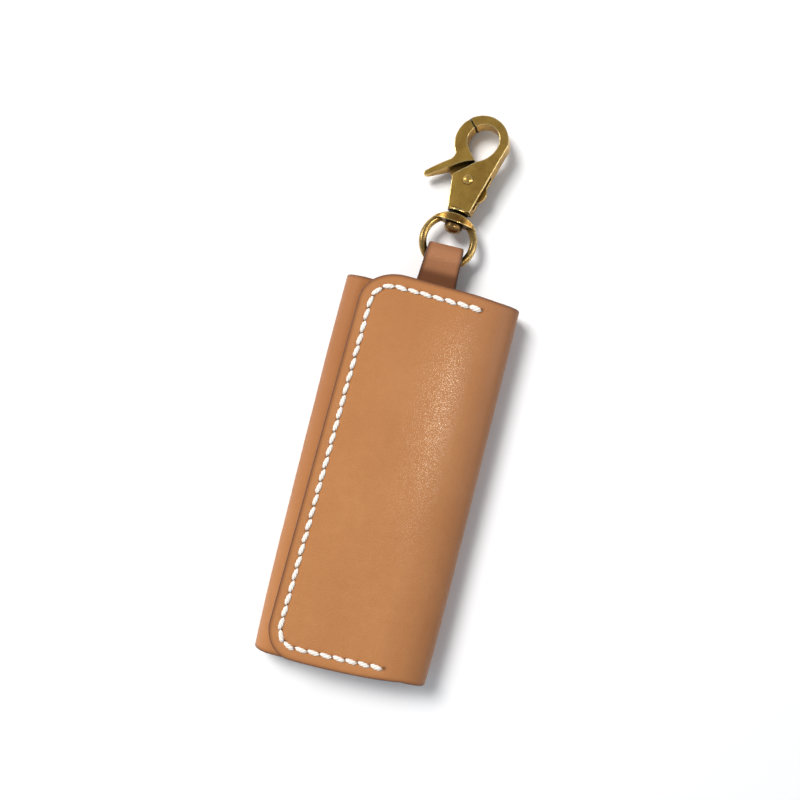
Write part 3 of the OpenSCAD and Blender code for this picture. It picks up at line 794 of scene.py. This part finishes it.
def strap_path():
    """Middle line of the strap in y and z: out in the lower layer, round the ring and back in the upper."""
    low, high = STRAP_LOOP
    outer_r = (high[2] - low[2]) / 2
    centre = np.array([high[1] - outer_r, (high[2] + low[2]) / 2])
    bend = np.array([BEND_Y, BEND_Z])
    loop_r = outer_r - STRAP_HALF
    away = centre - bend
    lean = math.atan2(away[1], away[0])
    spread = math.acos((STRAP_HALF - loop_r) / np.linalg.norm(away))
    below, above = lean - spread, lean + spread
    start, end = bend + STRAP_HALF * way(below), bend + STRAP_HALF * way(above)
    around = [centre + loop_r * way(angle) for angle in steps(below, above, math.radians(4))]
    straight = np.linspace(0, 1, 14)
    tail_y = STRAP_TAIL[0][1]
    path = [(y, BEND_Z - STRAP_HALF) for y in steps(tail_y, LAYERS_Y, 0.5)]
    path += [tuple(start + (around[0] - start) * t) for t in straight[:-1]]
    path += [tuple(place) for place in around]
    path += [tuple(around[-1] + (end - around[-1]) * t) for t in straight[1:]]
    path += [(y, BEND_Z + STRAP_HALF) for y in steps(LAYERS_Y, tail_y, 0.5)]
    path = np.array(path)
    for _ in range(6):
        path[1:-1] = (path[:-2] + path[1:-1] * 2 + path[2:]) / 4
    return path


def strap():
    path = strap_path()
    tip_y = STRAP_LOOP[1][1]
    ahead = unit(np.gradient(path, axis=0))
    out = np.stack([ahead[:, 1], -ahead[:, 0]], 1)
    length = np.concatenate([[0], np.cumsum(np.linalg.norm(np.diff(path, axis=0), axis=1))])
    wide, narrow = (STRAP_TAIL[1][0] - STRAP_TAIL[0][0]) / 2, STRAP_FOLD_W / 2
    across = steps(-1, 1, 0.09)
    top = np.zeros((len(across), len(path), 3))
    normal = np.zeros_like(top)
    flat = np.zeros_like(top)
    for i, u in enumerate(across):
        for j, (y, z) in enumerate(path):
            share = min(1.0, max(0.0, (y - BEND_Y + 1.4) / (tip_y - BEND_Y + 1.4)))
            half = wide + (narrow - wide) * share - EDGE_R
            x = STRAP_X + (STRAP_FOLD_X - STRAP_X) * share + half * u
            reach = STRAP_HALF + 0.05 * noise.noise(Vector((x / 4, length[j] / 5, 1.7)))
            top[i, j] = (x, y + out[j, 0] * reach, z + out[j, 1] * reach)
            normal[i, j] = (0, out[j, 0], out[j, 1])
            flat[i, j] = (x + 200, length[j], 0)
    nu, nv = len(across), len(path)
    borders = [[(0, j) for j in range(nv)], [(nu - 1, j) for j in range(nv)]]
    made = leather_sheet("strap_leather", top, normal, flat, STRAP_T, borders, STRAP,
                         slot="strap_leather", replaces=["strap_tail", "strap_loop"])
    y = places_mm(made)[:, 1]
    # darker where the strap goes into the case, partly painted shade and partly darker patina; a little
    # darker towards its bend round the ring
    stain_and_shade = np.clip((BEND_Y + 4.5 - y) / 1.5, 0, 1) * 0.8 + np.clip((y - tip_y + 4.6) / 3, 0, 1) * 0.3
    made.data.attributes.new("stain_and_shade", "FLOAT", "POINT").data.foreach_set("value", stain_and_shade.astype(np.float32))
    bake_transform(made)


strap()


# ---- Cast and turned metal, softened from the CAD solids ----

def cast(node, material, body, voxel=0.1, smooth=5):
    """A metal part with the soft edges of a polished casting."""
    made = bpy.data.objects.new(node + "_metal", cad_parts[node].data.copy())
    bpy.context.scene.collection.objects.link(made)
    made.data.materials.clear()
    remesh = made.modifiers.new("remesh", "REMESH")
    remesh.mode = "VOXEL"
    remesh.voxel_size = voxel * MM
    soften = made.modifiers.new("soften", "SMOOTH")
    soften.factor = 0.6
    soften.iterations = smooth
    mesh = bpy.data.meshes.new_from_object(made.evaluated_get(bpy.context.evaluated_depsgraph_get()))
    made.modifiers.clear()
    made.data = mesh
    mesh.polygons.foreach_set("use_smooth", [True] * len(mesh.polygons))
    mesh.materials.clear()
    mesh.materials.append(material)
    return finished(made, body, [node])


def close_mouth(lever, body):
    """Lets the lever's end meet the body's nose, as closely as polished castings do, with painted shade in
    the gap between.
    """
    mouth_y = box_mm("trigger_lever")[1][1] - MOUTH_L
    nose = places_mm(body)
    nose_tree = tree_of(nose[nose[:, 1] > mouth_y])
    for vertex in lever.data.vertices:
        place = np.array(vertex.co) / MM
        if place[1] > mouth_y:
            point, _, away = nose_tree.find(place)
            if MOUTH_GAP < away < MOUTH_REACH:
                reach = (away - MOUTH_GAP) * min(1.0, (MOUTH_REACH - away) / MOUTH_FADE)
                vertex.co += (Vector(point) - Vector(place)) / away * reach * MM
    tip = places_mm(lever)
    tip_tree = tree_of(tip[tip[:, 1] > mouth_y])
    # painted shade along the gap
    for made, tree in ((lever, nose_tree), (body, tip_tree)):
        dark = [min(1.0, max(0.0, (MOUTH_SHADE_W - tree.find(place)[2]) / MOUTH_SHADE_FADE)) if place[1] > mouth_y
                else 0.0 for place in places_mm(made)]
        made.data.attributes.new("shut", "FLOAT", "POINT").data.foreach_set("value", dark)


def as_drawn(node, material):
    """A small metal part that stays as the CAD has it, with its edges just broken."""
    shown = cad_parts[node]
    shown.data.materials.clear()
    shown.data.materials.append(material)
    round_off = shown.modifiers.new("bevel", "BEVEL")
    round_off.width = 0.06 * MM
    round_off.segments = 2
    round_off.limit_method = "ANGLE"


snap_casting = cast("snap_body", BRASS, "snap", 0.107, 8)
lever_casting = cast("trigger_lever", BRASS, "lever", 0.088, 10)
close_mouth(lever_casting, snap_casting)
cast("swivel_ring", RING_BRASS, "ring", 0.1, 5)
cast("swivel_stud", STUD_BRASS, "snap", 0.1, 4)
cast("lever_rivet", BRASS, "snap", 0.08, 6)
cast("strap_rivet", BRASS, "case_back", 0.1, 4)
for node in ("key_plate", "plate_rivets"):
    cast(node, NICKEL, "case_back", 0.14, 2)
for number in range(1, 5):
    cast(f"key_hook_{number}", NICKEL, f"hook_{number}", 0.1, 3)

for node in ("flap_magnets", "side_keepers", "lever_spring"):
    as_drawn(node, NICKEL)
for number in range(1, 5):
    as_drawn(f"key_gate_{number}", STRIP_BRASS)


# ---- Studio ----

def sky(scene):
    """A grey room: dim overhead, lighter round the sides, so that metal shows bright edges on brown faces."""
    world = bpy.data.worlds.new("studio")
    scene.world = world
    world.use_nodes = True
    tree = world.node_tree
    background = tree.nodes["Background"]
    place = tree.nodes.new("ShaderNodeTexCoord")
    split = tree.nodes.new("ShaderNodeSeparateXYZ")
    tree.links.new(place.outputs["Generated"], split.inputs[0])
    ramp = tree.nodes.new("ShaderNodeValToRGB")
    tree.links.new(split.outputs["Z"], ramp.inputs["Fac"])
    tree.links.new(ramp.outputs["Color"], background.inputs["Color"])
    stops = ramp.color_ramp.elements
    stops[0].position, stops[0].color = 0.0, (0.58, 0.6, 0.64, 1)
    stops[1].position, stops[1].color = 1.0, (0.34, 0.35, 0.375, 1)
    for position, grey in ((0.45, 0.52), (0.8, 0.46), (0.93, 0.36)):
        stop = stops.new(position)
        stop.color = (grey * 0.95, grey, grey * 1.07, 1)
    background.inputs["Strength"].default_value = SKY


def softbox(name, place, size, power, colour=(1.0, 1.0, 1.0), mirrored=True, lights=True):
    """A square light, aimed at the case, that can be left out of reflections or seen only in them."""
    light = bpy.data.lights.new(name, "AREA")
    light.shape = "RECTANGLE"
    light.size, light.size_y = size
    light.energy = power
    light.color = colour
    holder = bpy.data.objects.new(name, light)
    bpy.context.scene.collection.objects.link(holder)
    holder.location = place
    holder.rotation_euler = (Vector(LIGHT_AIM) - Vector(place)).to_track_quat("-Z", "Y").to_euler()
    holder.visible_glossy = mirrored
    holder.visible_diffuse = lights


def studio():
    floor_material = Nodes("paper_white")
    floor_material.finish(Base_Color=(0.945, 0.945, 0.945, 1.0), Roughness=0.9, Specular_IOR_Level=0.1)
    bpy.ops.mesh.primitive_plane_add(size=6, location=(0, 0, -0.0001))
    floor = bpy.context.object
    floor.name = "floor"
    floor.data.materials.append(floor_material.material)

    sky(bpy.context.scene)
    softbox("key", (-0.65, 0.47, 1.06), (0.5, 0.5), KEY, colour=(1.0, 0.985, 0.965), mirrored=False)
    softbox("sheen", (0.2, 0.04, 0.74), (0.06, 0.12), SHEEN, colour=(1.0, 0.9, 0.76), lights=False)
    softbox("rim_left", (-0.62, 0.24, 0.42), (0.08, 0.3), RIM[0], lights=False)
    softbox("rim_right", (0.66, 0.16, 0.46), (0.16, 0.44), RIM[1], lights=False)

    lens = bpy.data.cameras.new("camera")
    lens.lens = CAMERA_LENS
    lens.clip_start = 0.01
    camera = bpy.data.objects.new("camera", lens)
    bpy.context.scene.collection.objects.link(camera)
    camera.location = (CAMERA_PLACE[0] * MM, CAMERA_PLACE[1] * MM, CAMERA_PLACE[2] * MM)
    camera.rotation_euler = Euler((0, 0, math.radians(CAMERA_ROLL)))
    bpy.context.scene.camera = camera
    bpy.context.scene.view_settings.view_transform = "Standard"


SKY = 0.86
KEY = 18.3                          # powers of the lights, in watts
SHEEN = 0.95
RIM = (1.1, 1.6)
LIGHT_AIM = (0.0, 0.02, 0.0)
CAMERA_LENS = 43.97
CAMERA_PLACE = (-1.52, 21.26, 273.6)    # in millimetres: straight over the case
CAMERA_ROLL = 14.08

studio()
